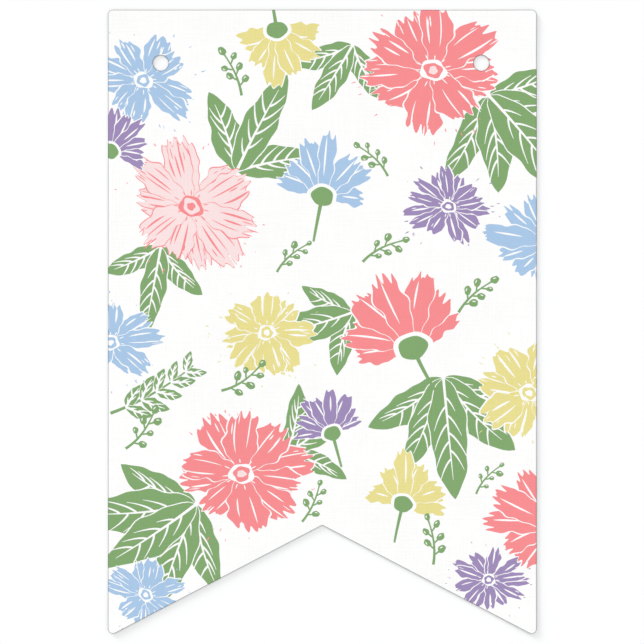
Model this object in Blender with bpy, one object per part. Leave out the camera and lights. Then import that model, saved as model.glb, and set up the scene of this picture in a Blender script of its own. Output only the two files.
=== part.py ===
"""Swallowtail bunting flag: one sheet of printed fabric with two round cord holes.

Units are metres and +Z is up. The flag lies flat on its back, with its printed face up
and its top edge towards +Y. The origin is under the middle of its outline, on the surface
that it lies on.
Run it with blender --background --python part.py, or from Blender's text editor.
"""

import math

import bmesh
import bpy

# Driving dimensions
WIDTH = 0.1700  # across the flag, side edge to side edge
TAIL_DROP = 0.2487  # top edge down to where a side edge would meet the notch edge
NOTCH_DROP = 0.2044  # top edge down to the top of the notch
THICKNESS = 0.0010  # the cloth, at the thin end of what a sheet is built with
CORNER_RADIUS = 0.0020  # the four outer corners, rounded so that they don't fray
HOLE_DIAMETER = 0.0061  # a 6 mm punch
LEFT_HOLE_INSET = 0.0209  # left edge to the centre of the left hole
RIGHT_HOLE_INSET = 0.0219  # right edge to the centre of the right hole, 1 mm further in
HOLE_DROP = 0.0211  # top edge to the centre of a hole

# How round stretches are drawn
CORNER_STEPS = 6  # straight pieces in each corner arc
HOLE_STEPS = 48  # straight pieces round each hole
WELD_DISTANCE = 0.00001  # joins the loose caps of the extruded outline

CLOTH_COLOUR = (0.97, 0.96, 0.94, 1.0)
CLOTH_ROUGHNESS = 0.85


def clear_scene():
    """Remove every object, so that the model starts from nothing."""
    for old in list(bpy.data.objects):
        bpy.data.objects.remove(old)


def new_collection(name):
    """Return a collection of this name in the scene."""
    collection = bpy.data.collections.new(name)
    bpy.context.scene.collection.children.link(collection)
    return collection


def cloth_material():
    """Return the material of the cloth: a matt, nearly white woven fabric."""
    material = bpy.data.materials.new("printed_polyester_cloth")
    material.use_nodes = True
    shader = material.node_tree.nodes["Principled BSDF"]
    shader.inputs["Base Color"].default_value = CLOTH_COLOUR
    shader.inputs["Roughness"].default_value = CLOTH_ROUGHNESS
    shader.inputs["Metallic"].default_value = 0.0
    return material


def rounded_corner(corner, before, after, radius, steps):
    """Return the points of an arc that rounds one corner of an outline.

    The arc touches the edge that comes from before and the edge that goes on to after.
    Its centre lies on the line that halves the corner.
    """
    into = [before[i] - corner[i] for i in (0, 1)]
    out = [after[i] - corner[i] for i in (0, 1)]
    into = [value / math.hypot(*into) for value in into]
    out = [value / math.hypot(*out) for value in out]
    half_angle = math.acos(into[0] * out[0] + into[1] * out[1]) / 2
    middle = [into[i] + out[i] for i in (0, 1)]
    middle = [value / math.hypot(*middle) for value in middle]
    reach = radius / math.sin(half_angle)
    centre = [corner[i] + middle[i] * reach for i in (0, 1)]
    tangent = radius / math.tan(half_angle)
    first = [corner[i] + into[i] * tangent - centre[i] for i in (0, 1)]
    last = [corner[i] + out[i] * tangent - centre[i] for i in (0, 1)]
    start = math.atan2(first[1], first[0])
    turn = math.atan2(last[1], last[0]) - start
    turn = (turn + math.pi) % (2 * math.pi) - math.pi
    angles = [start + turn * step / steps for step in range(steps + 1)]
    return [(centre[0] + radius * math.cos(a), centre[1] + radius * math.sin(a)) for a in angles]


def flag_outline():
    """Return the outline, counterclockwise, x across the flag and y up it from the top edge."""
    half = WIDTH / 2
    top_left, top_right = (-half, 0.0), (half, 0.0)
    tail_left, tail_right = (-half, -TAIL_DROP), (half, -TAIL_DROP)
    notch = (0.0, -NOTCH_DROP)
    corners = [top_right, top_left, tail_left, notch, tail_right]
    points = []
    for i, corner in enumerate(corners):
        if corner == notch:
            points.append(notch)  # the notch is cut to a sharp point
            continue
        before, after = corners[i - 1], corners[(i + 1) % len(corners)]
        points += rounded_corner(corner, before, after, CORNER_RADIUS, CORNER_STEPS)
    return points


def hole_outline(x):
    """Return the cord hole whose centre is at x across the flag, as a ring of points."""
    angles = [2 * math.pi * step / HOLE_STEPS for step in range(HOLE_STEPS)]
    radius = HOLE_DIAMETER / 2
    return [(x + radius * math.cos(a), -HOLE_DROP + radius * math.sin(a)) for a in angles]


def add_ring(curve, points):
    """Add a closed ring of straight pieces to a 2D curve."""
    spline = curve.splines.new("POLY")
    spline.points.add(len(points) - 1)
    for point, (x, y) in zip(spline.points, points):
        point.co = (x, y, 0.0, 1.0)
    spline.use_cyclic_u = True


def build_flag(collection):
    """Build the flag: its outline with both holes, filled and given the cloth's thickness.

    The outline is measured from the top edge, so it is moved up by half of its length, which
    puts the middle of its box over the origin. It is raised by half of the thickness.
    """
    border = flag_outline()
    middle = (max(y for _, y in border) + min(y for _, y in border)) / 2
    curve = bpy.data.curves.new("flag_outline", "CURVE")
    curve.dimensions = "2D"
    curve.fill_mode = "BOTH"
    curve.extrude = THICKNESS / 2
    add_ring(curve, border)
    for x in (LEFT_HOLE_INSET - WIDTH / 2, WIDTH / 2 - RIGHT_HOLE_INSET):
        add_ring(curve, hole_outline(x))

    outline = bpy.data.objects.new("flag_outline", curve)
    outline.location = (0.0, -middle, THICKNESS / 2)
    collection.objects.link(outline)
    bpy.context.view_layer.update()

    graph = bpy.context.evaluated_depsgraph_get()
    mesh = bpy.data.meshes.new_from_object(outline.evaluated_get(graph))
    mesh.name = "flag"
    form = bmesh.new()
    form.from_mesh(mesh)
    bmesh.ops.remove_doubles(form, verts=form.verts, dist=WELD_DISTANCE)
    form.to_mesh(mesh)
    form.free()

    flag = bpy.data.objects.new("flag", mesh)
    flag.matrix_world = outline.matrix_world.copy()
    flag.data.materials.clear()
    flag.data.materials.append(cloth_material())
    collection.objects.link(flag)
    bpy.data.objects.remove(outline)
    return flag


def main():
    """Build the whole object."""
    clear_scene()
    build_flag(new_collection("bunting_flag"))


main()
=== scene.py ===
"""Printed swallowtail bunting flag, lying face up on a pale studio floor.

The flag is one cut sheet of white woven polyester with a scattered print of flowers, leaf
sprays and bud twigs. The sheet is worked out flat in millimetres, x across the flag and y
up from its top edge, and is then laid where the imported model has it, in metres.
"""

from __future__ import annotations

import logging
from dataclasses import dataclass, field
from enum import Enum
from typing import Any

import bpy
import numpy as np
from mathutils.geometry import delaunay_2d_cdt
from numpy.typing import ArrayLike
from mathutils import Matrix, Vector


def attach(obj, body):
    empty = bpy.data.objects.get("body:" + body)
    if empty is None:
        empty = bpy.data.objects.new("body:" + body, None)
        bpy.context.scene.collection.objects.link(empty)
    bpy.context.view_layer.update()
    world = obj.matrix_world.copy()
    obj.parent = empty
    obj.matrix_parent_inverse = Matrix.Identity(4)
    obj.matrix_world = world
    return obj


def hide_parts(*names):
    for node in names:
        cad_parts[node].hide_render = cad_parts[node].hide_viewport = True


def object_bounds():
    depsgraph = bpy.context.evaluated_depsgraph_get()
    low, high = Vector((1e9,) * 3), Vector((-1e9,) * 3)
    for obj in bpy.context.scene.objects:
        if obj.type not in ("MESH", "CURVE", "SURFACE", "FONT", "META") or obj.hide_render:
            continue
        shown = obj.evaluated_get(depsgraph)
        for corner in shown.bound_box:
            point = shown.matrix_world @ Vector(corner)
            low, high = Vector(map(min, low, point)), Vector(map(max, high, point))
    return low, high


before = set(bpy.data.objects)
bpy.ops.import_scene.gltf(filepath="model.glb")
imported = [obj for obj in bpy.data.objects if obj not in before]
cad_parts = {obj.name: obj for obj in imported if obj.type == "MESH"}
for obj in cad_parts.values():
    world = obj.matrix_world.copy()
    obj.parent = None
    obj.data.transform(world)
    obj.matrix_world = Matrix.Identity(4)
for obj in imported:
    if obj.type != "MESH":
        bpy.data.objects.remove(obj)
CAD_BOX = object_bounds()

LOG = logging.getLogger("bunting_flag")
MM = 0.001
HAIR = 0.02  # least half width of a printed line in mm

Array = np.ndarray
Random = np.random.Generator
Span = tuple[float, float]  # lowest and highest value of a random size or share
Tree = bpy.types.NodeTree
Socket = bpy.types.NodeSocket


def linear_colour(code: str) -> tuple[float, float, float, float]:
    """Turn an sRGB hex colour into the linear one that the shaders use.

    Args:
        code: Colour such as "#EC878A".

    Returns:
        Linear red, green and blue, and an alpha of 1.
    """
    srgb = np.array([int(code[i : i + 2], 16) for i in (1, 3, 5)]) / 255
    linear = np.where(srgb <= 0.04045, srgb / 12.92, ((srgb + 0.055) / 1.055) ** 2.4)
    return (*linear.tolist(), 1.0)


def feed(node: bpy.types.Node, inputs: dict[Any, Any]) -> None:
    """Set a node's inputs.

    Args:
        node: The node.
        inputs: Input's name or number to its value, or to the output that feeds it.
    """
    for key, value in inputs.items():
        if isinstance(value, Socket):
            node.id_data.links.new(value, node.inputs[key])
        else:
            node.inputs[key].default_value = value


def add_node(
    tree: Tree, kind: str, output: str, inputs: dict[Any, Any] | None = None, **settings: Any
) -> Socket:
    """Add one shader node to a tree, with its settings, values and links.

    Args:
        tree: Node tree that gets the node.
        kind: Type of the node after its first word, ShaderNode, such as Math.
        output: Name of the output that is used.
        inputs: What feed takes.
        settings: The node's own settings, such as operation.

    Returns:
        That output.
    """
    node = tree.nodes.new("ShaderNode" + kind)
    for name, value in settings.items():
        setattr(node, name, value)
    feed(node, inputs or {})
    return node.outputs[output]


def add_object(name: str, data: bpy.types.ID) -> bpy.types.Object:
    """Put an object into the scene.

    Args:
        name: Its name.
        data: Its mesh, camera or light.

    Returns:
        The object, at the origin.
    """
    made = bpy.data.objects.new(name, data)
    bpy.context.scene.collection.objects.link(made)
    return made


class Ink(Enum):
    """The inks of the print, numbered in the order of the colour ramp on the cloth."""

    BARE = 0
    BLUSH = 1
    CORAL = 2
    SKY = 3
    STRAW = 4
    LILAC = 5
    LEAF = 6


@dataclass(frozen=True)
class Patch:
    """One flat patch of ink, which covers whatever was laid before it."""

    ink: Ink
    outline: Array


def turned(points: Array, degrees: float, squash: float = 1.0) -> Array:
    """Turn points clockwise about the origin, then flatten their height.

    Args:
        points: Points as rows of x and y.
        degrees: Turn away from +y towards +x.
        squash: Share of the height that stays, as for a flower seen from the side.

    Returns:
        The turned points.
    """
    angle = np.radians(degrees)
    across = points[:, 0] * np.cos(angle) + points[:, 1] * np.sin(angle)
    up = points[:, 1] * np.cos(angle) - points[:, 0] * np.sin(angle)
    return np.stack([across, up * squash], axis=1)


def stamped(
    parts: list[Patch], degrees: float, squash: float = 1.0, scale: float = 1.0, shift: ArrayLike = 0
) -> list[Patch]:
    """Return patches scaled, turned clockwise, flattened and shifted by mm, all alike."""
    return [Patch(p.ink, turned(p.outline * scale, degrees, squash) + shift) for p in parts]


def on_circle(angle: Array) -> Array:
    """Return points of the unit circle, the cosine and the sine of each angle."""
    return np.stack([np.cos(angle), np.sin(angle)], axis=1)


def full_turn(steps: int) -> Array:
    """Return this many even angles round a full turn, in radians."""
    return np.linspace(0, 2 * np.pi, steps, endpoint=False)


def outer_first(count: int) -> Array:
    """Return even leans from -1 to 1, the outer ones first and the middle one last."""
    leans = np.linspace(-1, 1, count)
    return leans[np.argsort(-np.abs(leans), kind="stable")]


def fresh_seed(rng: Random) -> int:
    """Draw the seed of one petal or leaf."""
    return int(rng.integers(1 << 30))


def leaning_spine(length: float, bend: float, along: Array) -> Array:
    """Return points of a spine up +y that leans aside by bend times length times along squared."""
    return np.stack([bend * length * along**2, length * along], axis=1)


def ribbon(spine: Array, half_width: Array) -> Array:
    """Return the outline of a band: the spine moved to both sides by its half width.

    Args:
        spine: Points down the middle of the band.
        half_width: Half of the band's width at each of them.

    Returns:
        Outline up one side and down the other.
    """
    run = np.gradient(spine, axis=0)
    run /= np.linalg.norm(run, axis=1, keepdims=True)
    across = run[:, ::-1] * [-1, 1] * half_width[:, None]
    return np.concatenate([spine + across, (spine - across)[::-1]])


def wobble(along: Array, rng: Random) -> Array:
    """Return smooth unevenness near -1 to 1: three sines with random phases.

    Args:
        along: Places along a stroke, from 0 to 1.
        rng: Source of the phases.

    Returns:
        The unevenness at each place.
    """
    waves = np.array([1.1, 2.3, 4.2])[:, None]
    phase = rng.uniform(0, 2 * np.pi, (3, 1))
    return (np.sin(2 * np.pi * waves * along + phase) * [[0.5], [0.45], [0.35]]).sum(axis=0)


def rounded(ring: Array, least: float = 0.5, straight: float = 0.94) -> Array:
    """Cut the corners off a ring, as a brush would.

    A corner becomes two points, a quarter of the way along each of its edges.

    Args:
        ring: Points of the ring in order.
        least: Least length of both edges in mm.
        straight: Cosine of the turn, above which a corner stays as it is.

    Returns:
        The ring with more points.
    """
    back, ahead = np.roll(ring, 1, axis=0) - ring, np.roll(ring, -1, axis=0) - ring
    lengths = np.linalg.norm([back, ahead], axis=2) + 1e-9
    onward = -(back * ahead).sum(axis=1) / (lengths[0] * lengths[1])
    cut = (lengths.min(axis=0) > least) & (onward < straight)
    share = np.where(cut, 0.25, 0.0)[:, None]
    both = np.stack([ring + back * share, ring + ahead * share], axis=1)
    return both[np.stack([np.ones_like(cut), cut], axis=1)]


def blob(radius: float, rough: float, steps: int, rng: Random) -> Array:
    """Return a round patch: a circle whose radius follows sines of 2, 3 and 5 waves.

    Args:
        radius: Mean radius in mm.
        rough: How far the sines move it, as a share of the radius.
        steps: Number of points.
        rng: Source of the sines' phases.

    Returns:
        Points of the patch.
    """
    angle = full_turn(steps)
    waves = np.array([2, 3, 5])[:, None]
    uneven = np.sin(waves * angle + rng.uniform(0, 2 * np.pi, (3, 1))).sum(axis=0)
    return (radius * (1 + rough * uneven))[:, None] * on_circle(angle)


@dataclass(frozen=True)
class Petal:
    """A petal with a narrow foot, a broad shoulder and a torn tip."""

    length: float
    width: float
    bend: float
    teeth: int
    shoulder: float = 0.72
    tear: float = 0.62
    foot: float = 0.16
    unevenness: float = 0.22
    side_steps: int = 15
    slit_steps: int = 8
    tear_depth: Span = (0.3, 1.3)
    tip_reach: Span = (0.85, 1.1)

    def outline(self, seed: int, grow: float = 0.0) -> Array:
        """Work out the petal's outline.

        Each side widens with the sine of the way to the shoulder and wobbles. Past the
        shoulder the tip is a round cap, cut back between its teeth by the power of a cosine.

        Args:
            seed: Seed of the random shares, so that a grown outline matches the plain one.
            grow: Margin in mm that is added all round.

        Returns:
            Closed outline, foot at the origin and tip towards +y.
        """
        rng = np.random.default_rng(seed)
        side = np.linspace(0.0, self.shoulder, self.side_steps)
        wide = self.width / 2 + grow
        swell = np.sin(np.pi / 2 * (side / self.shoulder) ** 0.9)
        half = wide * (self.foot + (1 - self.foot) * swell)
        left, right = (half * (1 + self.unevenness * wobble(side, rng)) for _ in range(2))
        across = np.linspace(-1.0, 1.0, 4 * self.teeth + 1)[1:-1]
        cap = (1 - across**2) ** 0.4
        dips = np.abs(np.cos(self.teeth * np.pi * (across + 1) / 2)) ** 1.5
        cut = self.tear * dips * rng.uniform(*self.tear_depth, across.size)
        reach = (1 - self.shoulder) * cap * (1 - cut) * rng.uniform(*self.tip_reach, across.size)
        along = np.concatenate([side, self.shoulder + reach, side[::-1]])
        aside = np.concatenate([-left, across * wide, right[::-1]])
        lean = self.bend * self.length * along**2
        return rounded(np.stack([lean + aside, along * (self.length + grow)], axis=1))

    def slit(self, aside: float, start: float, stop: float, half_width: float) -> Array:
        """Draw a line that runs along the petal and tapers to both ends.

        Args:
            aside: Place across the petal, from -1 to 1.
            start: Share of the petal's length where it starts.
            stop: Share where it ends.
            half_width: Half of its widest width in mm.

        Returns:
            Its closed outline.
        """
        along = np.linspace(start, stop, self.slit_steps)
        swell = np.sin(np.pi / 2 * np.minimum(along / self.shoulder, 1.0))
        spine = leaning_spine(self.length, self.bend, along)
        spine[:, 0] += aside * self.width / 2 * swell
        taper = np.sin(np.linspace(0.0, 1.0, self.slit_steps) * np.pi).clip(0.0) ** 0.7
        return ribbon(spine, half_width * taper + HAIR)


@dataclass(frozen=True)
class Bloom:
    """An open flower, seen a little from its side."""

    ink: Ink
    petals: int
    radius: float
    petal_width: float
    teeth: int
    squash: float = 0.86
    slits: int = 2
    flecks: int = 3
    specks: int = 16
    line: Ink = Ink.BARE
    margin: float = 0.55
    petal_turn: float = 9.0
    petal_length: Span = (0.80, 1.08)
    petal_fullness: Span = (0.82, 1.15)
    petal_bend: Span = (-0.16, 0.16)
    slit_spread: float = 0.75
    slit_scatter: Span = (-0.25, 0.25)
    slit_start: Span = (0.28, 0.5)
    slit_stop: Span = (0.72, 0.98)
    slit_half: Span = (0.22, 0.5)
    fleck_start: Span = (0.62, 0.86)
    fleck_length: Span = (0.08, 0.2)
    fleck_aside: Span = (-0.85, 0.85)
    fleck_half: Span = (0.12, 0.3)
    speck_length: Span = (0.5, 2.4)
    speck_half: Span = (0.12, 0.30)
    speck_bend: Span = (-0.2, 0.2)
    speck_out: Span = (0.88, 1.12)
    speck_profile: tuple[float, ...] = (0.06, 0.9, 1.0, 0.5, 0.08)
    eye_share: float = 0.17
    dashes: int = 11
    dash_turn: float = 8.0
    dash_length: Span = (0.3, 0.6)
    dash_out: Span = (0.95, 1.15)
    dash_profile: tuple[float, ...] = (0.12, 0.24, 0.22, 0.05)

    def speck_patches(self, rng: Random) -> list[Patch]:
        """Draw small dry-brush marks all round the petals' tips.

        Args:
            rng: Source of their places and sizes.

        Returns:
            One patch for each mark.
        """
        ink = self.ink if self.line is Ink.BARE else self.line
        profile = np.array(self.speck_profile)
        along = np.linspace(0, 1, len(profile))
        parts = []
        for _ in range(self.specks):
            length, half = rng.uniform(*self.speck_length), rng.uniform(*self.speck_half)
            mark = ribbon(leaning_spine(length, rng.uniform(*self.speck_bend), along), half * profile)
            mark += [0, self.radius * rng.uniform(*self.speck_out)]
            parts += stamped([Patch(ink, mark)], rng.uniform(0, 360), self.squash)
        return parts

    def petal_patches(self, angle: float, rng: Random) -> list[Patch]:
        """Draw one petal.

        Args:
            angle: Its turn clockwise in degrees.
            rng: Source of its random shares.

        Returns:
            Its margin, its ink, its slits and the flecks near its tip.
        """
        petal = Petal(
            length=self.radius * rng.uniform(*self.petal_length),
            width=self.petal_width * rng.uniform(*self.petal_fullness),
            bend=rng.uniform(*self.petal_bend),
            teeth=self.teeth,
        )
        shape = fresh_seed(rng)
        lines = [petal.outline(shape, self.margin)]
        for k in range(self.slits):
            even = (k + 0.5) / self.slits * 2 - 1
            aside = self.slit_spread * (even + rng.uniform(*self.slit_scatter))
            start, stop = rng.uniform(*self.slit_start), rng.uniform(*self.slit_stop)
            lines.append(petal.slit(aside, start, stop, rng.uniform(*self.slit_half)))
        for _ in range(self.flecks):
            start, length = rng.uniform(*self.fleck_start), rng.uniform(*self.fleck_length)
            aside, half = rng.uniform(*self.fleck_aside), rng.uniform(*self.fleck_half)
            lines.append(petal.slit(aside, start, start + length, half))
        parts = [Patch(self.line, line) for line in lines]
        parts.insert(1, Patch(self.ink, petal.outline(shape)))
        return stamped(parts, angle, self.squash)

    def eye_patches(self, rng: Random) -> list[Patch]:
        """Draw the flower's eye.

        Args:
            rng: Source of its random shares.

        Returns:
            A ring, a disc of ink, a pale middle and dashes all round.
        """
        eye = self.radius * self.eye_share
        middle = Ink.BLUSH if self.ink is Ink.CORAL else self.line
        # Ink, share of the eye's radius, roughness and points of each round patch
        rounds = ((self.line, 1.0, 0.06, 32), (self.ink, 0.7, 0.07, 26), (middle, 0.36, 0.08, 18))
        parts = [Patch(ink, blob(eye * share, *form, rng)) for ink, share, *form in rounds]
        parts = stamped(parts, 0.0, self.squash)
        profile = np.array(self.dash_profile)
        along = np.linspace(0, 1, len(profile))
        for k in range(self.dashes):
            length, out = eye * rng.uniform(*self.dash_length), eye * rng.uniform(*self.dash_out)
            dash = ribbon(leaning_spine(length, 0.0, along), profile) + [0, out]
            angle = 360 * k / self.dashes + rng.uniform(-self.dash_turn, self.dash_turn)
            parts += stamped([Patch(self.line, dash)], angle, self.squash)
        return parts

    def patches(self, seed: int) -> list[Patch]:
        """Draw the whole flower.

        Args:
            seed: Seed of its random shares.

        Returns:
            Its specks, its petals in a random order, then its eye.
        """
        rng = np.random.default_rng(seed)
        parts = self.speck_patches(rng)
        for k in rng.permutation(self.petals):
            angle = 360 * k / self.petals + rng.uniform(-self.petal_turn, self.petal_turn)
            parts += self.petal_patches(angle, rng)
        return parts + self.eye_patches(rng)


@dataclass(frozen=True)
class SideBloom:
    """A flower seen from its side: petals that fan up out of a green cup on a short stem."""

    ink: Ink
    petals: int
    radius: float
    petal_width: float
    teeth: int
    spread: float = 66.0
    outer_cut: float = 0.28
    outer_bend: float = 0.22
    petal_turn: float = 5.0
    petal_length: Span = (0.88, 1.08)
    petal_fullness: Span = (0.8, 1.15)
    petal_bend: Span = (-0.08, 0.08)
    slit_aside: Span = (-0.4, 0.4)
    slit_start: Span = (0.3, 0.5)
    slit_stop: Span = (0.75, 0.95)
    slit_half: float = 0.4
    margin: float = 0.5
    stem_share: float = 0.75
    stem_bend: Span = (-0.2, 0.2)
    cup_share: float = 0.15

    def patches(self, seed: int) -> list[Patch]:
        """Draw the flower. The outer petals are shorter and bend outwards.

        Args:
            seed: Seed of its random shares.

        Returns:
            Its petals, the outer ones first, then the cup's margin, the stem and the cup.
        """
        rng = np.random.default_rng(seed)
        parts = []
        for lean in outer_first(self.petals):
            share = 1.05 - self.outer_cut * abs(lean)
            petal = Petal(
                length=self.radius * share * rng.uniform(*self.petal_length),
                width=self.petal_width * rng.uniform(*self.petal_fullness),
                bend=self.outer_bend * lean + rng.uniform(*self.petal_bend),
                teeth=self.teeth,
            )
            shape = fresh_seed(rng)
            angle = self.spread * lean + rng.uniform(-self.petal_turn, self.petal_turn)
            spans = (self.slit_aside, self.slit_start, self.slit_stop)
            slit = petal.slit(*(rng.uniform(*span) for span in spans), self.slit_half)
            layers = [Patch(Ink.BARE, petal.outline(shape, self.margin))]
            layers += [Patch(self.ink, petal.outline(shape)), Patch(Ink.BARE, slit)]
            parts += stamped(layers, angle)
        cup = blob(self.radius * self.cup_share, 0.03, 26, rng) * [1.25, 1.0]
        along = np.linspace(0, 1, 8)
        spine = leaning_spine(self.radius * self.stem_share, rng.uniform(*self.stem_bend), along)
        stem = turned(ribbon(spine, 0.9 - 0.4 * along), 180)
        return parts + [Patch(Ink.BARE, cup * 1.35), Patch(Ink.LEAF, stem), Patch(Ink.LEAF, cup)]


@dataclass(frozen=True)
class Leaf:
    """A leaf: an almond with a brushed edge, a bare midrib and bare side veins."""

    length: float
    width: float
    bend: float
    veins: int = 4
    margin: float = 0.5
    unevenness: float = 0.13
    steps: int = 24
    midrib_half: float = 0.62
    vein_half: float = 0.44
    vein_first: float = 0.16  # share of the midrib below the lowest vein
    vein_run: float = 0.58  # share of it that has veins
    vein_reach: Span = (0.6, 0.95)

    def half_width(self, along: Array) -> Array:
        """Return half of the leaf's width: the sine of the way along, fuller near its foot."""
        return self.width / 2 * np.sin(np.pi * along**0.85).clip(0.0) ** 0.75

    def vein(self, side: int, at: float, reach: float) -> Array:
        """Draw a side vein, which curves up out of the midrib and gets thinner.

        Args:
            side: -1 for the left half of the leaf and 1 for the right.
            at: Share of the midrib where it starts.
            reach: How far it goes aside in mm.

        Returns:
            Its closed outline.
        """
        along = np.linspace(0, 1, 8)
        foot = leaning_spine(self.length, self.bend, np.array([at]))
        curve = np.stack([side * along, 0.7 * along + along**2], axis=1)
        return ribbon(foot + reach * curve, self.vein_half * np.cos(1.4 * along) + HAIR)

    def patches(self, seed: int) -> list[Patch]:
        """Draw the leaf.

        Args:
            seed: Seed of its random shares.

        Returns:
            Its bare margin, its green, then the midrib and the veins of both halves.
        """
        rng = np.random.default_rng(seed)
        along = np.linspace(0.0, 1.0, self.steps)
        half = self.half_width(along) * (1 + self.unevenness * wobble(along, rng))
        grown = leaning_spine(self.length + self.margin, self.bend, along)
        green = leaning_spine(self.length, self.bend, along)
        up = np.linspace(-0.02, 0.84, 12)
        midrib = leaning_spine(self.length, self.bend, up)
        lines = [ribbon(midrib, self.midrib_half * (1 - up / 0.86).clip(0.0) ** 0.6 + HAIR)]
        for side in (-1, 1):
            for k in range(self.veins):
                at = self.vein_first + self.vein_run * (k + 0.25 * (side + 1)) / self.veins
                reach = float(self.half_width(np.array(at))) * rng.uniform(*self.vein_reach)
                lines.append(self.vein(side, at, reach))
        parts = [Patch(Ink.BARE, ribbon(grown, half + self.margin))]
        parts.append(Patch(Ink.LEAF, ribbon(green, half + HAIR)))
        return parts + [Patch(Ink.BARE, line) for line in lines]


@dataclass(frozen=True)
class Spray:
    """Broad leaves that fan out of one foot."""

    leaves: int
    length: float
    spread: float
    slimness: float = 0.34
    outer_cut: float = 0.22
    outer_bend: float = 0.2
    leaf_turn: float = 6.0
    leaf_length: Span = (0.86, 1.06)
    leaf_fullness: Span = (0.85, 1.15)
    leaf_bend: Span = (-0.08, 0.08)

    def patches(self, seed: int) -> list[Patch]:
        """Draw the spray. The outer leaves are shorter and bend outwards.

        Args:
            seed: Seed of its random shares.

        Returns:
            Its leaves, the outer ones first.
        """
        rng = np.random.default_rng(seed)
        parts = []
        for lean in outer_first(self.leaves):
            share = 1.0 - self.outer_cut * abs(lean)
            length = self.length * share * rng.uniform(*self.leaf_length)
            width = length * self.slimness * rng.uniform(*self.leaf_fullness)
            leaf = Leaf(length, width, self.outer_bend * lean + rng.uniform(*self.leaf_bend))
            angle = self.spread * lean + rng.uniform(-self.leaf_turn, self.leaf_turn)
            parts += stamped(leaf.patches(fresh_seed(rng)), angle)
        return parts


@dataclass(frozen=True)
class Sprig:
    """A curved stem with small leaves in pairs."""

    pairs: int
    length: float
    slimness: float = 0.42
    leaf_places: Span = (0.18, 0.90)
    bend: Span = (0.12, 0.25)
    leaf_length: Span = (0.85, 1.1)
    leaf_turn: Span = (38, 56)

    def patches(self, seed: int) -> list[Patch]:
        """Draw the sprig. Its leaves get smaller towards the tip.

        Args:
            seed: Seed of its random shares.

        Returns:
            Its stem, then its leaves from the lowest pair up.
        """
        rng = np.random.default_rng(seed)
        bend = rng.uniform(*self.bend) * rng.choice([-1, 1])
        along = np.linspace(0, 1, 14)
        stem = ribbon(leaning_spine(self.length, bend, along), 0.75 - 0.45 * along)
        parts = [Patch(Ink.LEAF, stem)]
        for at in np.linspace(*self.leaf_places, self.pairs):
            foot = leaning_spine(self.length, bend, np.array([at]))
            lean = np.degrees(np.arctan(2 * bend * at))
            for side in (-1, 1):
                size = self.length * (0.34 - 0.14 * at) * rng.uniform(*self.leaf_length)
                leaf = Leaf(size, size * self.slimness, -0.15 * side, veins=2, margin=0.3)
                angle = lean + side * rng.uniform(*self.leaf_turn)
                parts += stamped(leaf.patches(fresh_seed(rng)), angle, shift=foot)
        return parts


@dataclass(frozen=True)
class Twig:
    """A short curved twig with round buds on side stalks."""

    buds: int
    length: float
    bud_places: Span = (0.25, 1.0)
    bud_radius: float = 1.45
    bud_fullness: Span = (0.75, 1.15)
    stalk: float = 2.6
    stalk_turn: Span = (38, 56)
    bend: Span = (0.2, 0.35)

    def patches(self, seed: int) -> list[Patch]:
        """Draw the twig.

        The buds go left and right by turns, and the last one sits on the tip. Each has a
        bare glint on its left.

        Args:
            seed: Seed of its random shares.

        Returns:
            Its stem, then each bud's stalk, bud and glint.
        """
        rng = np.random.default_rng(seed)
        bend = rng.uniform(*self.bend) * rng.choice([-1, 1])
        along = np.linspace(0, 1, 12)
        stem = ribbon(leaning_spine(self.length, bend, along), 0.55 - 0.25 * along)
        parts = [Patch(Ink.LEAF, stem)]
        for k, at in enumerate(np.linspace(*self.bud_places, self.buds)):
            foot = leaning_spine(self.length, bend, np.array([at]))
            side = 0 if k == self.buds - 1 else (-1) ** k
            angle = np.degrees(np.arctan(2 * bend * at)) + side * rng.uniform(*self.stalk_turn)
            radius = self.bud_radius * rng.uniform(*self.bud_fullness)
            stalk = ribbon(leaning_spine(self.stalk, 0.0, along), 0.28 + 0.1 * along)
            bud = blob(radius, 0.04, 22, rng) * [0.9, 1.15] + [0, self.stalk + 0.8 * radius]
            glint = ribbon(leaning_spine(0.9 * radius, 0.3, along), 0.2 * np.sin(np.pi * along) + HAIR)
            glint += [-0.42 * radius, self.stalk + 0.5 * radius]
            layers = [Patch(Ink.LEAF, stalk), Patch(Ink.LEAF, bud), Patch(Ink.BARE, glint)]
            parts += stamped(layers, angle, shift=foot)
        return parts


Motif = Bloom | SideBloom | Spray | Sprig | Twig

CORAL_BLOOM = Bloom(Ink.CORAL, petals=10, radius=30.0, petal_width=14.0, teeth=4)
SKY_BLOOM = Bloom(Ink.SKY, petals=9, radius=24.0, petal_width=10.0, teeth=3, squash=0.82)
STRAW_BLOOM = Bloom(Ink.STRAW, petals=8, radius=23.0, petal_width=12.5, teeth=3, squash=0.9)
LILAC_BLOOM = Bloom(Ink.LILAC, 14, 20.5, 6.2, teeth=2, squash=0.84, slits=1, flecks=1)
BLUSH_BLOOM = Bloom(
    Ink.BLUSH, 11, 29.0, 13.0, teeth=4, slits=3, flecks=4, line=Ink.CORAL, margin=0.4
)
CORAL_SIDE = SideBloom(Ink.CORAL, petals=7, radius=33.0, petal_width=12.0, teeth=4)
SKY_SIDE = SideBloom(Ink.SKY, petals=7, radius=27.0, petal_width=8.6, teeth=3)
STRAW_SIDE = SideBloom(Ink.STRAW, petals=6, radius=26.0, petal_width=10.5, teeth=3)
LILAC_SIDE = SideBloom(Ink.LILAC, petals=8, radius=23.0, petal_width=6.6, teeth=2)
BIG_SPRAY = Spray(leaves=5, length=54.0, spread=54.0)
SMALL_SPRAY = Spray(leaves=3, length=43.0, spread=38.0)
SPRIG = Sprig(pairs=5, length=44.0)
TWIG = Twig(buds=6, length=15.0)


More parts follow.
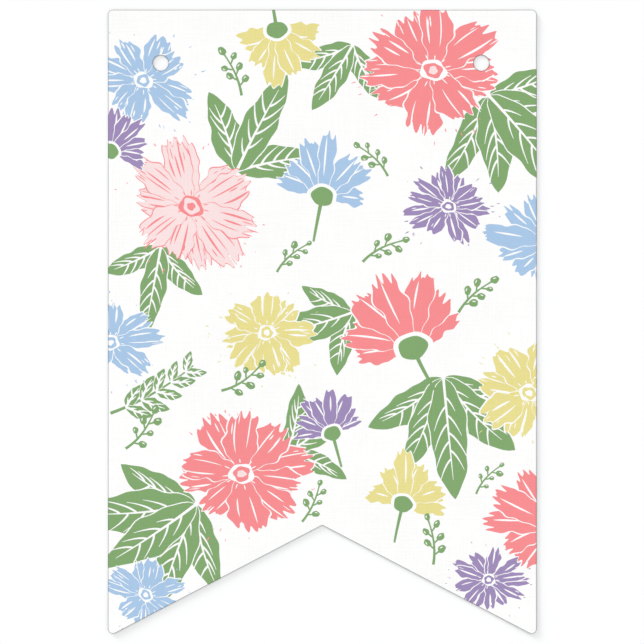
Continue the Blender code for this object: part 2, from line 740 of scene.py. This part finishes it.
@dataclass(frozen=True)
class Placement:
    """Where one motif is printed.

    across and down are its foot or middle in mm, from the middle of the top edge. turn is in
    degrees clockwise.
    """

    motif: Motif
    across: float
    down: float
    turn: float
    scale: float
    seed: int


# Motif, across, down, turn, scale and seed, in the order in which they are laid
LAYOUT = [Placement(*row) for row in (
    (BIG_SPRAY, 66, 34, 140, 0.9, 11),
    (SMALL_SPRAY, -34, 64, 30, 0.95, 13),
    (SMALL_SPRAY, -64, 94, 195, 0.8, 12),
    (BIG_SPRAY, 48, 146, 170, 0.85, 14),
    (SMALL_SPRAY, 12, 120, 250, 0.75, 15),
    (BIG_SPRAY, -50, 196, 235, 0.9, 16),
    (SMALL_SPRAY, -14, 176, 60, 0.8, 17),
    (SMALL_SPRAY, 12, 14, 205, 0.8, 18),
    (SPRIG, -84, 160, 70, 0.85, 19),
    (CORAL_BLOOM, 44, 24, 10, 1.0, 31),
    (BLUSH_BLOOM, -52, 78, 40, 0.98, 32),
    (CORAL_SIDE, 36, 134, -22, 0.95, 33),
    (CORAL_BLOOM, -32, 184, 0, 0.95, 34),
    (CORAL_SIDE, 92, 204, -60, 0.9, 35),
    (SKY_BLOOM, -71, 28, 20, 0.95, 41),
    (SKY_SIDE, 0, 74, 12, 0.9, 42),
    (SKY_BLOOM, -84, 132, 0, 0.9, 43),
    (SKY_SIDE, 90, 92, -80, 0.9, 44),
    (SKY_BLOOM, -70, 232, 30, 0.75, 45),
    (STRAW_SIDE, -18, 8, 170, 0.85, 52),
    (STRAW_BLOOM, -22, 128, 0, 0.9, 53),
    (STRAW_BLOOM, 82, 152, 20, 1.0, 51),
    (STRAW_SIDE, 32, 196, 15, 0.8, 54),
    (LILAC_BLOOM, 50, 78, 0, 0.9, 61),
    (LILAC_SIDE, -84, 56, 40, 0.8, 62),
    (LILAC_SIDE, 4, 168, -15, 0.8, 64),
    (LILAC_BLOOM, 66, 226, 0, 0.8, 63),
    (TWIG, -32, 34, -8, 1.0, 71),
    (TWIG, 16, 100, 42, 1.0, 72),
    (TWIG, 54, 120, 30, 1.0, 73),
    (TWIG, -40, 151, 78, 1.0, 74),
    (TWIG, -8, 203, 40, 0.9, 75),
    (TWIG, -78, 174, 58, 1.0, 76),
    (TWIG, -18, 104, 28, 0.9, 77),
    (TWIG, 44, 220, 10, 1.0, 78),
    (TWIG, 61, 192, 20, 0.8, 79),
    (TWIG, 26, 66, -25, 0.9, 80),
)]


def inside(points: Array, ring: Array) -> Array:
    """Tell which points a closed ring winds round.

    Each edge that crosses a point's height on its right counts one way or the other, and the
    point is inside where the sum isn't zero.

    Args:
        points: Points as rows of x and y.
        ring: Corners of the ring in order.

    Returns:
        True or False for each point.
    """
    start, stop = ring, np.roll(ring, -1, axis=0)
    above = points[:, 1:2] < np.stack([start[:, 1], stop[:, 1]])[:, None, :]
    crossing = above[0] != above[1]
    rise = np.where(stop[:, 1] == start[:, 1], 1.0, stop[:, 1] - start[:, 1])
    share = (points[:, 1:2] - start[:, 1]) / rise
    on_right = start[:, 0] + share * (stop[:, 0] - start[:, 0]) > points[:, 0:1]
    sign = np.where(stop[:, 1] > start[:, 1], 1, -1)
    return (crossing & on_right).astype(int) @ sign != 0


def closed_edges(count: int, first: int) -> Array:
    """Return the edges of a ring of count points, the first of which has the number first."""
    number = np.arange(count)
    return np.stack([number, (number + 1) % count], axis=1) + first


def shoelace(ring: Array) -> float:
    """Return a ring's area: half of the sum of its corners' cross products."""
    after = np.roll(ring, -1, axis=0)
    return float(np.sum(ring[:, 0] * after[:, 1] - ring[:, 1] * after[:, 0]) / 2)


@dataclass
class PrintDesign:
    """The whole print: every motif's patches, placed on the cloth, in mm."""

    layout: list[Placement]
    patches: list[Patch] = field(default_factory=list)

    def lay(self, low: Array, high: Array) -> None:
        """Place the motifs and keep each patch that reaches into the cloth's box.

        Args:
            low: Lowest corner of the cloth.
            high: Its highest corner.
        """
        for row in self.layout:
            drawn, spot = row.motif.patches(row.seed), (row.across, -row.down)
            for patch in stamped(drawn, row.turn, scale=row.scale, shift=spot):
                ends = patch.outline.min(axis=0), patch.outline.max(axis=0)
                if (ends[0] < high).all() and (ends[1] > low).all():
                    self.patches.append(patch)

    def ink_at(self, points: Array) -> Array:
        """Find the ink that shows at each point, that of the last patch there.

        Args:
            points: Points in mm.

        Returns:
            The ink's number for each point.
        """
        inks = np.full(len(points), Ink.BARE.value)
        for patch in self.patches:
            low, high = patch.outline.min(axis=0), patch.outline.max(axis=0)
            near = np.flatnonzero(((points > low) & (points < high)).all(axis=1))
            inks[near[inside(points[near], patch.outline)]] = patch.ink.value
        return inks


@dataclass(frozen=True)
class FlagCut:
    """The cut outline of the flag in mm, x across it and y up from its top edge."""

    width: float
    tail_drop: float = 248.7
    notch_drop: float = 204.4
    corner_radius: float = 2.0
    hole_diameter: float = 6.1
    hole_insets: tuple[float, float] = (20.9, 21.9)  # from the left edge and the right one
    hole_drop: float = 21.1
    step: float = 2.0
    corner_steps: int = 8
    hole_steps: int = 56

    def outer(self, inset: float = 0.0) -> Array:
        """Return the outline, moved in by inset, with as many points whatever the inset.

        The edges are the straight ones moved along their normals. Every corner but the
        notch's is an arc about a fixed centre, so that its radius shrinks by the inset.

        Args:
            inset: Distance into the cloth in mm.

        Returns:
            Points counterclockwise from the top right corner.
        """
        half = self.width / 2 - inset
        slope = (self.tail_drop - self.notch_drop) / (self.width / 2)
        lift = inset * np.hypot(1.0, slope)
        tail = -self.tail_drop + slope * inset + lift
        notch = -self.notch_drop + lift
        corners = np.array(
            [[half, -inset], [-half, -inset], [-half, tail], [0.0, notch], [half, tail]]
        )
        stretches = [self.width, self.tail_drop, np.hypot(self.width / 2, slope * self.width / 2)]
        counts = [round(stretches[i] / self.step) for i in (0, 1, 2, 2, 1)]
        radii = [self.corner_radius - inset] * 5
        radii[3] = 0.0  # the notch is cut to a sharp point
        arcs = [self.corner(corners, i, radius) for i, radius in enumerate(radii)]
        parts = []
        for i, arc in enumerate(arcs):
            share = np.linspace(0, 1, counts[i] + 1)[1:-1, None]
            parts += [arc, arc[-1] * (1 - share) + arcs[(i + 1) % 5][0] * share]
        return np.concatenate(parts)

    def corner(self, corners: Array, i: int, radius: float) -> Array:
        """Round one corner by an arc that touches both of its edges.

        Args:
            corners: The outline's sharp corners in order.
            i: Number of the corner.
            radius: Radius of the arc in mm, or 0 for a sharp point.

        Returns:
            Points of the arc, or the one point.
        """
        if radius == 0.0:
            return corners[i : i + 1]
        arms = np.stack([corners[i - 1], corners[(i + 1) % len(corners)]]) - corners[i]
        arms /= np.linalg.norm(arms, axis=1, keepdims=True)
        half_angle = np.arccos(arms[0] @ arms[1]) / 2
        middle = arms.sum(axis=0) / np.linalg.norm(arms.sum(axis=0))
        centre = corners[i] + middle * radius / np.sin(half_angle)
        ends = corners[i] + arms * radius / np.tan(half_angle) - centre
        start, stop = np.arctan2(ends[:, 1], ends[:, 0])
        turn = (stop - start + np.pi) % (2 * np.pi) - np.pi
        return centre + radius * on_circle(start + turn * np.linspace(0, 1, self.corner_steps + 1))

    def rings(self, inset: float = 0.0) -> list[Array]:
        """Return every cut edge, moved into the cloth.

        Args:
            inset: Distance into the cloth in mm.

        Returns:
            The outline and both cord holes.
        """
        left, right = self.hole_insets
        hole = (self.hole_diameter / 2 + inset) * on_circle(full_turn(self.hole_steps))
        centres = (left - self.width / 2, self.width / 2 - right)
        return [self.outer(inset), *(hole + [across, -self.hole_drop] for across in centres)]

    def holds(self, points: Array, inset: float) -> Array:
        """Tell which points lie on the cloth.

        Args:
            points: Points in mm.
            inset: Least distance from the cut edges in mm.

        Returns:
            True or False for each point.
        """
        outline, *holes = self.rings(inset)
        found = inside(points, outline)
        for ring in holes:
            found &= ~inside(points, ring)
        return found

    def area(self) -> float:
        """Return the cloth's flat area in square mm: the outline's less the holes'."""
        outline, *holes = self.rings()
        return shoelace(outline) - sum(shoelace(ring) for ring in holes)


@dataclass(frozen=True)
class Swell:
    """A soft swell in cloth that lies loose: a long, low bell in mm."""

    across: float
    down: float
    width: float
    length: float
    turn: float
    height: float

    def lift(self, points: Array) -> Array:
        """Return the height at each point: a bell of its distances along and across."""
        local = turned(points - [self.across, -self.down], -self.turn)
        return self.height * np.exp(-((local / [self.width, self.length]) ** 2).sum(axis=1))


# Across, down, half width, half length, turn and height of each swell
SWELLS = [Swell(*row) for row in (
    (-30, 60, 26, 70, 24, 0.22),
    (46, 110, 22, 60, -18, 0.24),
    (-54, 170, 20, 48, 8, 0.20),
    (10, 190, 30, 24, 70, 0.14),
    (87, 70, 11, 62, 0, 0.18),
    (87, 190, 11, 52, 0, 0.20),
    (-44, 228, 11, 44, 62, 0.20),
    (44, 228, 11, 40, -62, 0.20),
    (-84, 248, 15, 22, -28, 0.22),
    (84, 248, 15, 22, 24, 0.22),
    (86, 2, 14, 14, 45, 0.24),
    (-86, 4, 14, 14, -45, 0.18),
    (-20, 0, 60, 8, 0, 0.16),
)]


@dataclass(frozen=True)
class Triangles:
    """A flat sheet of triangles, counterclockwise, each with the ink that shows on it."""

    points: Array
    corners: Array
    inks: Array

    def edges(self) -> tuple[Array, Array, Array]:
        """Find the edges where the print or the cloth ends.

        Every triangle's edges are sorted by their two end points, so that an edge that two
        triangles share comes twice in a row.

        Returns:
            The shared edges whose triangles differ in ink, the edges of one triangle only,
            in that triangle's order, and the numbers of those triangles.
        """
        directed = self.corners[:, [0, 1, 1, 2, 2, 0]].reshape(-1, 2)
        owner = np.repeat(np.arange(len(self.corners)), 3)
        code = directed.min(axis=1) * len(self.points) + directed.max(axis=1)
        order = np.argsort(code, kind="stable")
        directed, owner, code = directed[order], owner[order], code[order]
        shared = code[1:] == code[:-1]
        differ = shared & (self.inks[owner[1:]] != self.inks[owner[:-1]])
        alone = ~(np.append(shared, False) | np.insert(shared, 0, False))
        return directed[:-1][differ], directed[alone], owner[alone]


@dataclass
class ClothSheet:
    """The flag's cloth: a thin closed sheet with its print, its cut edge and its swells.

    Its sizes are in mm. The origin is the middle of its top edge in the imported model, in metres.
    """

    cut: FlagCut
    design: PrintDesign
    origin: Array
    thickness: float = 0.36
    edge_width: float = 0.18
    edge_fade: float = 0.32
    edge_steps: int = 8
    grid: float = 4.0
    merge: float = 0.002  # points closer than this become one
    batch: int = 2000  # points that are measured at a time

    def triangles(self, rings: list[Array], loose: Array, lines: Array) -> Triangles:
        """Cut the cloth into triangles along rings and lines.

        Args:
            rings: Closed rings of points in mm, which may cross each other.
            loose: Further points.
            lines: Edges between the further points, by their numbers.

        Returns:
            The triangles that lie on the cloth, inside its rolled edge, with their inks.
        """
        first = np.cumsum([0] + [len(ring) for ring in rings])
        edges = [closed_edges(len(ring), at) for ring, at in zip(rings, first)]
        edges = np.concatenate([*edges, lines + first[-1]]).tolist()
        points = np.concatenate([*rings, loose]).tolist()
        made = delaunay_2d_cdt(points, edges, [], 0, self.merge)
        flat, corners = np.array(made[0]), np.array(made[2])
        corners = corners[self.cut.holds(flat[corners].mean(axis=1), self.edge_width)]
        used, corners = np.unique(corners, return_inverse=True)
        flat, corners = flat[used], corners.reshape(-1, 3)
        return Triangles(flat, corners, self.design.ink_at(flat[corners].mean(axis=1)))

    def flat_face(self) -> Triangles:
        """Work out the printed face as triangles.

        The first cutting has the outline of every patch. The second keeps only the lines
        that part two inks, which drops what lies hidden under later patches, and adds a
        grid, so that the face can swell.

        Returns:
            The face, inside the rolled edge.
        """
        borders = self.cut.rings(self.edge_width)
        none = np.empty((0, 2), int)
        whole = self.triangles(borders + [p.outline for p in self.design.patches], none, none)
        parting, _, _ = whole.edges()
        kept, parting = np.unique(parting, return_inverse=True)
        low, high = borders[0].min(axis=0), borders[0].max(axis=0)
        across, up = np.meshgrid(*(np.arange(low[i], high[i], self.grid) for i in (0, 1)))
        grid = np.stack([across.ravel(), up.ravel()], axis=1)
        grid = grid[self.cut.holds(grid, 2 * self.edge_fade)]
        loose = np.concatenate([whole.points[kept], grid])
        return self.triangles(borders + self.cut.rings(self.edge_fade), loose, parting.reshape(-1, 2))

    def cut_edge(self, points: Array) -> tuple[Array, Array]:
        """Find the cut edge beside each point.

        Each point is dropped onto the nearest stretch of a cut edge, and its distance from
        there is measured. The points go in batches, which saves memory.

        Args:
            points: Points on the cloth in mm.

        Returns:
            The nearest point of a cut edge, and the distance to it.
        """
        rings = self.cut.rings()
        start = np.concatenate(rings)
        run = np.concatenate([np.roll(ring, -1, axis=0) for ring in rings]) - start
        length = (run**2).sum(axis=1)
        nearest, distance = np.empty_like(points), np.empty(len(points))
        for part in np.array_split(np.arange(len(points)), max(1, len(points) // self.batch)):
            offset = points[part, None] - start
            share = ((offset * run).sum(axis=2) / length).clip(0, 1)
            gap = np.linalg.norm(offset - share[..., None] * run, axis=2)
            best = gap.argmin(axis=1)
            row = np.arange(len(part))
            distance[part] = gap[row, best]
            nearest[part] = start[best] + share[row, best, None] * run[best]
        return nearest, distance

    def solid(self, points: Array, share: float) -> Array:
        """Place flat points in the cloth's thickness, above the sum of the swells.

        Args:
            points: Points in mm.
            share: Where in the thickness, from -1 for the underside to 1 for the face.

        Returns:
            Points in metres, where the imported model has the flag.
        """
        lift = sum(swell.lift(points) for swell in SWELLS)
        height = lift + self.thickness / 2 * (1 + share)
        return np.column_stack([points, height]) * MM + self.origin

    def build(self) -> bpy.types.Object:
        """Build the closed sheet.

        The face and the underside are the same triangles. Between them the cut edge is half
        of a tube: at the angle t it stands out by the sine of t times the edge's width, at
        the cosine of t times half of the thickness.

        Returns:
            The sheet's object, with its place in its mesh.
        """
        face = self.flat_face()
        _, border, owner = face.edges()
        rim, border = np.unique(border, return_inverse=True)
        border = border.reshape(-1, 2)
        count, width = len(face.points), len(rim)
        outside, _ = self.cut_edge(face.points[rim])
        angles = np.linspace(0, np.pi, self.edge_steps + 1)[1:-1]
        levels = [self.solid(face.points, 1.0)]
        for angle in angles:
            reach = face.points[rim] + (outside - face.points[rim]) * np.sin(angle)
            levels.append(self.solid(reach, np.cos(angle)))
        levels.append(self.solid(face.points, -1.0))

        under = count + width * len(angles)
        steps = [count + width * k + np.arange(width) for k in range(len(angles))]
        bands = zip([rim, *steps], [*steps, under + rim])
        quads = [np.column_stack([upper[border[:, ::-1]], lower[border]]) for upper, lower in bands]
        quads = np.concatenate(quads)
        triangles = np.concatenate([face.corners, face.corners[:, ::-1] + under])
        inks = np.concatenate([face.inks, face.inks, np.tile(face.inks[owner], len(angles) + 1)])

        mesh = bpy.data.meshes.new("flag_cloth")
        mesh.from_pydata(np.concatenate(levels), [], triangles.tolist() + quads.tolist())
        mesh.shade_smooth()
        sizes = np.repeat([3, 4], [len(triangles), len(quads)])
        self.attribute(mesh, "print_ink", "CORNER", np.repeat(inks, sizes))
        _, distance = self.cut_edge(face.points)
        # cut_edge marks where the material paints the darker cut edge, the fused edge's tone and
        # painted edge shade: 1 on the rounded edge, fading out over the face beside it
        near = (1 - (distance - self.edge_width) / (self.edge_fade - self.edge_width)).clip(0, 1)
        edge = np.concatenate([near, np.ones(width * len(angles)), near])
        self.attribute(mesh, "cut_edge", "POINT", edge)
        back = [np.zeros(count), np.repeat((1 - np.cos(angles)) / 2, width), np.ones(count)]
        self.attribute(mesh, "underside", "POINT", np.concatenate(back))
        LOG.info("cloth: %d triangles a side, %d along its edge", len(face.corners), 2 * len(quads))
        return add_object("flag_cloth", mesh)

    @staticmethod
    def attribute(mesh: bpy.types.Mesh, name: str, domain: str, values: Array) -> None:
        """Store one number for each point or corner of a mesh."""
        made = mesh.attributes.new(name, "FLOAT", domain)
        made.data.foreach_set("value", values.astype(np.float32))


@dataclass(frozen=True)
class WovenPolyester:
    """White plain-weave polyester, printed with dye on its face and cut with a hot knife.

    It gives the eye a matt, nearly white cloth whose colours are flat and clear, a faint
    canvas grain with painted shade in the gaps between its threads, paler colours on the
    underside where the dye shows through, and a thin darker line along every cut, which is
    partly the slightly fused edge's own tone and partly painted edge shade.
    """

    name: str = "printed_woven_polyester"
    ink_colours: tuple[tuple[Ink, str], ...] = (
        (Ink.BARE, "#F6F5F4"),
        (Ink.BLUSH, "#F2DADA"),
        (Ink.CORAL, "#EF888B"),
        (Ink.SKY, "#A3C0DE"),
        (Ink.STRAW, "#E2D78C"),
        (Ink.LILAC, "#9986B2"),
        (Ink.LEAF, "#7DA26A"),
    )
    thread_pitch: float = 0.55  # real threads are about 0.3 mm apart, too fine to show
    thread_relief: float = 0.10
    relief_strength: float = 0.7
    gap_shade_tone: float = 0.96
    slub_length: float = 14.0
    cloud_size: float = 22.0
    unevenness: float = 0.012
    roughness: float = 0.82
    sealed_roughness: float = 0.50
    specular: float = 0.25
    sheen: float = 0.04
    sheen_roughness: float = 0.5
    show_through: float = 0.30
    # grey that darkens every cut: the fused edge's own tone together with painted edge shade that
    # draws a dark outline
    edge_tone_and_shade: str = "#A0A0A0"

    def ramp(self, tree: Tree) -> Socket:
        """Add the inks: an ink's number picks its stop of a stepped ramp.

        Args:
            tree: The material's node tree.

        Returns:
            The colour of the ink.
        """
        count = len(self.ink_colours)
        number = add_node(tree, "Attribute", "Fac", attribute_name="print_ink")
        middle = {0: number, 1: 1 / count, 2: 0.5 / count}
        share = add_node(tree, "Math", "Value", middle, operation="MULTIPLY_ADD")
        colour = add_node(tree, "ValToRGB", "Color", {"Fac": share})
        colour.node.color_ramp.interpolation = "CONSTANT"
        stops = colour.node.color_ramp.elements
        for place, (ink, code) in enumerate(self.ink_colours):
            stop = stops[0] if place == 0 else stops.new(ink.value / count)
            stop.color = linear_colour(code)
        stops.remove(stops[-1])
        return colour

    def weave(self, tree: Tree, place: Socket) -> Socket:
        """Add the plain weave's height.

        Two wave textures give the round backs of the upright and the level threads. A
        checker picks which of them lies on top, and each dips along its own length where it
        goes under the other.

        Args:
            tree: The material's node tree.
            place: Object coordinates.

        Returns:
            Height from 0 in the gaps to 1 on top of a thread.
        """
        count = 1 / (self.thread_pitch * MM)
        threads = add_node(tree, "Mapping", "Vector", {"Vector": place, "Scale": (count, count, 0.0)})
        one_wave_a_thread = {"Vector": threads, "Scale": np.pi / 10, "Distortion": 0.0}
        waves = [
            add_node(tree, "TexWave", "Fac", one_wave_a_thread, wave_type="BANDS", bands_direction=way)
            for way in ("X", "Y")
        ]
        on_top = add_node(tree, "TexChecker", "Fac", {"Vector": threads, "Scale": 1.0})
        heights = []
        for across, along in (waves, waves[::-1]):
            dip = add_node(tree, "Math", "Value", {0: along, 1: 0.5, 2: 0.5}, operation="MULTIPLY_ADD")
            heights.append(add_node(tree, "Math", "Value", {0: across, 1: dip}, operation="MULTIPLY"))
        return add_node(tree, "Mix", "Result", {"Factor": on_top, "A": heights[0], "B": heights[1]})

    def tone(self, tree: Tree, place: Socket, height: Socket) -> Socket:
        """Add the cloth's own light and dark.

        Slubs are noise drawn out along each set of threads, clouds are the slow change of a
        print's density, and the gaps between the threads are painted darker, as painted shade
        between the threads.

        Args:
            tree: The material's node tree.
            place: Object coordinates.
            height: The weave's height.

        Returns:
            A number near 1 that the colour is multiplied by.
        """
        sizes = (self.thread_pitch, self.slub_length, self.cloud_size)
        fine, slow, cloud = (1 / (size * MM) for size in sizes)
        levels = {"From Min": 0.3, "From Max": 0.7}
        levels |= {"To Min": 1 - self.unevenness, "To Max": 1 + self.unevenness}
        # Painted shade: the colour darkens where the weave is low, in the gaps between the threads
        painted_gap_shade = {"Value": height, "To Min": self.gap_shade_tone, "To Max": 1.0}
        total = add_node(tree, "MapRange", "Result", painted_gap_shade)
        for scale in ((fine, slow, 1.0), (slow, fine, 1.0), (cloud, cloud, 1.0)):
            stretched = add_node(tree, "Mapping", "Vector", {"Vector": place, "Scale": scale})
            grain = {"Vector": stretched, "Scale": 1.0, "Detail": 2.0}
            noise = add_node(tree, "TexNoise", "Fac", grain)
            level = add_node(tree, "MapRange", "Result", {"Value": noise} | levels)
            total = add_node(tree, "Math", "Value", {0: total, 1: level}, operation="MULTIPLY")
        return total

    def material(self) -> bpy.types.Material:
        """Build the material.

        The dye fades towards bare cloth on the underside, the cut edge's darker tone is
        multiplied in, partly the fused edge's own tone and partly painted edge shade, and the
        weave gives tone, with painted shade in its gaps, and relief.

        Returns:
            The material, which reads print_ink, cut_edge and underside from the mesh.
        """
        material = bpy.data.materials.new(self.name)
        material.use_nodes = True
        tree = material.node_tree
        place = add_node(tree, "TexCoord", "Object")
        edge = add_node(tree, "Attribute", "Fac", attribute_name="cut_edge")
        under = add_node(tree, "Attribute", "Fac", attribute_name="underside")
        height = self.weave(tree, place)

        hidden = {0: under, 1: 1 - self.show_through}
        fade = add_node(tree, "Math", "Value", hidden, operation="MULTIPLY")
        bare = linear_colour(dict(self.ink_colours)[Ink.BARE])
        sides = {"Factor": fade, "A": self.ramp(tree), "B": bare}
        dyed = add_node(tree, "Mix", "Result", sides, data_type="RGBA")
        # Painted edge shade: along every cut the colour is multiplied by a grey, partly the fused
        # edge's own tone and partly shade painted in to draw a dark outline
        fused = {"Factor": edge, "A": dyed, "B": linear_colour(self.edge_tone_and_shade)}
        edge_toned_and_shaded = add_node(tree, "Mix", "Result", fused, data_type="RGBA", blend_type="MULTIPLY")
        toned = {0: edge_toned_and_shaded, "Scale": self.tone(tree, place, height)}
        finish = {"Value": edge, "To Min": self.roughness, "To Max": self.sealed_roughness}
        relief = {"Strength": self.relief_strength, "Distance": self.thread_relief * MM}
        feed(
            tree.nodes["Principled BSDF"],
            {
                "Base Color": add_node(tree, "VectorMath", "Vector", toned, operation="SCALE"),
                "Roughness": add_node(tree, "MapRange", "Result", finish),
                "Normal": add_node(tree, "Bump", "Normal", relief | {"Height": height}),
                "Specular IOR Level": self.specular,
                "Sheen Weight": self.sheen,
                "Sheen Roughness": self.sheen_roughness,
            },
        )
        return material


@dataclass(frozen=True)
class MattPaper:
    """Matt white paper, which gives the eye an even, pale ground with hardly any grain."""

    name: str = "matt_white_paper"
    light: str = "#F1F1F1"
    dark: str = "#F0F0F0"
    grains_a_metre: float = 900.0

    def material(self) -> bpy.types.Material:
        """Build the material.

        Returns:
            The material, whose grain follows Object coordinates.
        """
        material = bpy.data.materials.new(self.name)
        material.use_nodes = True
        tree = material.node_tree
        place = add_node(tree, "TexCoord", "Object")
        grain = add_node(tree, "TexNoise", "Fac", {"Vector": place, "Scale": self.grains_a_metre})
        tones = {"Factor": grain, "A": linear_colour(self.dark), "B": linear_colour(self.light)}
        tint = add_node(tree, "Mix", "Result", tones, data_type="RGBA")
        matt = {"Base Color": tint, "Roughness": 1.0, "Specular IOR Level": 0.0}
        feed(tree.nodes["Principled BSDF"], matt)
        return material


@dataclass
class Studio:
    """The pale floor, the soft lights and the camera straight above the flag.

    The photo_ fields are in pixels: the side of its square frame, and the flag's edges in it.
    """

    low: Array
    high: Array
    cloth_top: float
    photo_side: float = 644.0
    photo_left: float = 107.95
    photo_right: float = 536.65
    photo_top: float = 9.8
    lens: float = 85.0
    sensor: float = 36.0
    floor_rings: tuple[float, ...] = (0.4, 1.0, 2.5, 6.0, 12.0)
    floor_turns: int = 96
    floor_gap: float = 0.00005
    key_strength: float = 2.45
    key_spread: float = 14.0  # degrees, like its tilt and bearing
    key_tilt: float = 79.0
    key_bearing: float = 48.0
    surround_strength: float = 1.045
    zenith: str = "#F7F8F9"
    horizon: str = "#FFFFFF"

    def camera(self) -> None:
        """Hang the camera so that the flag has the photograph's place and size.

        A pixel's real size is the flag's width over its pixels. The frame's width follows,
        and the camera's height is that width times the lens over the sensor.
        """
        pixel = (self.high[0] - self.low[0]) / (self.photo_right - self.photo_left)
        middle = self.photo_side / 2
        aside = middle - (self.photo_left + self.photo_right) / 2
        across = (self.high[0] + self.low[0]) / 2 + aside * pixel
        up = self.high[1] - (middle - self.photo_top) * pixel
        distance = self.photo_side * pixel * self.lens / self.sensor
        data = bpy.data.cameras.new("photo_camera")
        data.lens, data.sensor_width = self.lens, self.sensor
        data.clip_start = 0.01
        camera = add_object("photo_camera", data)
        camera.location = (across, up, self.cloth_top + distance)
        bpy.context.scene.camera = camera

    def floor(self) -> None:
        """Lay a wide round floor just below the flag: one disc with rings round it."""
        turns, rings = self.floor_turns, np.array(self.floor_rings)
        circle = np.column_stack([on_circle(full_turn(turns)), np.zeros(turns)])
        points = (rings[:, None, None] * circle).reshape(-1, 3) - [0, 0, self.floor_gap]
        around = closed_edges(turns, 0)
        bands = [
            np.column_stack([around + turns * k, around[:, ::-1] + turns * (k + 1)])[:, [0, 3, 2, 1]]
            for k in range(len(rings) - 1)
        ]
        mesh = bpy.data.meshes.new("floor")
        mesh.from_pydata(points, [], [list(range(turns))] + np.concatenate(bands).tolist())
        floor = add_object("floor", mesh)
        floor.data.materials.append(MattPaper().material())

    def lights(self) -> None:
        """Add the soft key from the upper left and the pale surrounding light."""
        key = bpy.data.lights.new("key", "SUN")
        key.energy, key.angle = self.key_strength, np.radians(self.key_spread)
        lamp = add_object("key", key)
        lamp.rotation_euler = (0.0, -np.radians(self.key_tilt), -np.radians(self.key_bearing))
        world = bpy.data.worlds.new("pale_surround")
        world.use_nodes = True
        tree = world.node_tree
        direction = add_node(tree, "TexCoord", "Generated")
        upward = add_node(tree, "SeparateXYZ", "Z", {"Vector": direction})
        ends = {"A": linear_colour(self.horizon), "B": linear_colour(self.zenith)}
        sky = add_node(tree, "Mix", "Result", {"Factor": upward} | ends, data_type="RGBA")
        feed(tree.nodes["Background"], {"Color": sky, "Strength": self.surround_strength})
        bpy.context.scene.world = world

    def build(self) -> None:
        """Set up the floor, the lights, the camera and plain colour management."""
        self.camera()
        self.floor()
        self.lights()
        bpy.context.scene.view_settings.view_transform = "Standard"
        LOG.info("studio: floor, key light, surround and camera")


def main() -> None:
    """Build the flag's cloth and the studio."""
    logging.basicConfig(level=logging.INFO, format="%(message)s")
    low, high = (np.array(corner) for corner in CAD_BOX)
    cut = FlagCut(width=(high[0] - low[0]) / MM)
    design = PrintDesign(LAYOUT)
    design.lay(cut.outer().min(axis=0), cut.outer().max(axis=0))
    LOG.info("print: %d motifs, %d patches", len(LAYOUT), len(design.patches))

    origin = np.array([(low[0] + high[0]) / 2, high[1], low[2]])
    cloth = ClothSheet(cut, design, origin)
    sheet = cloth.build()
    sheet.data.materials.append(WovenPolyester().material())
    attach(sheet, "root")
    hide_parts("flag")
    cut.area() * MM**2
    Studio(low, high, low[2] + cloth.thickness * MM).build()


if __name__ == "__main__":
    main()
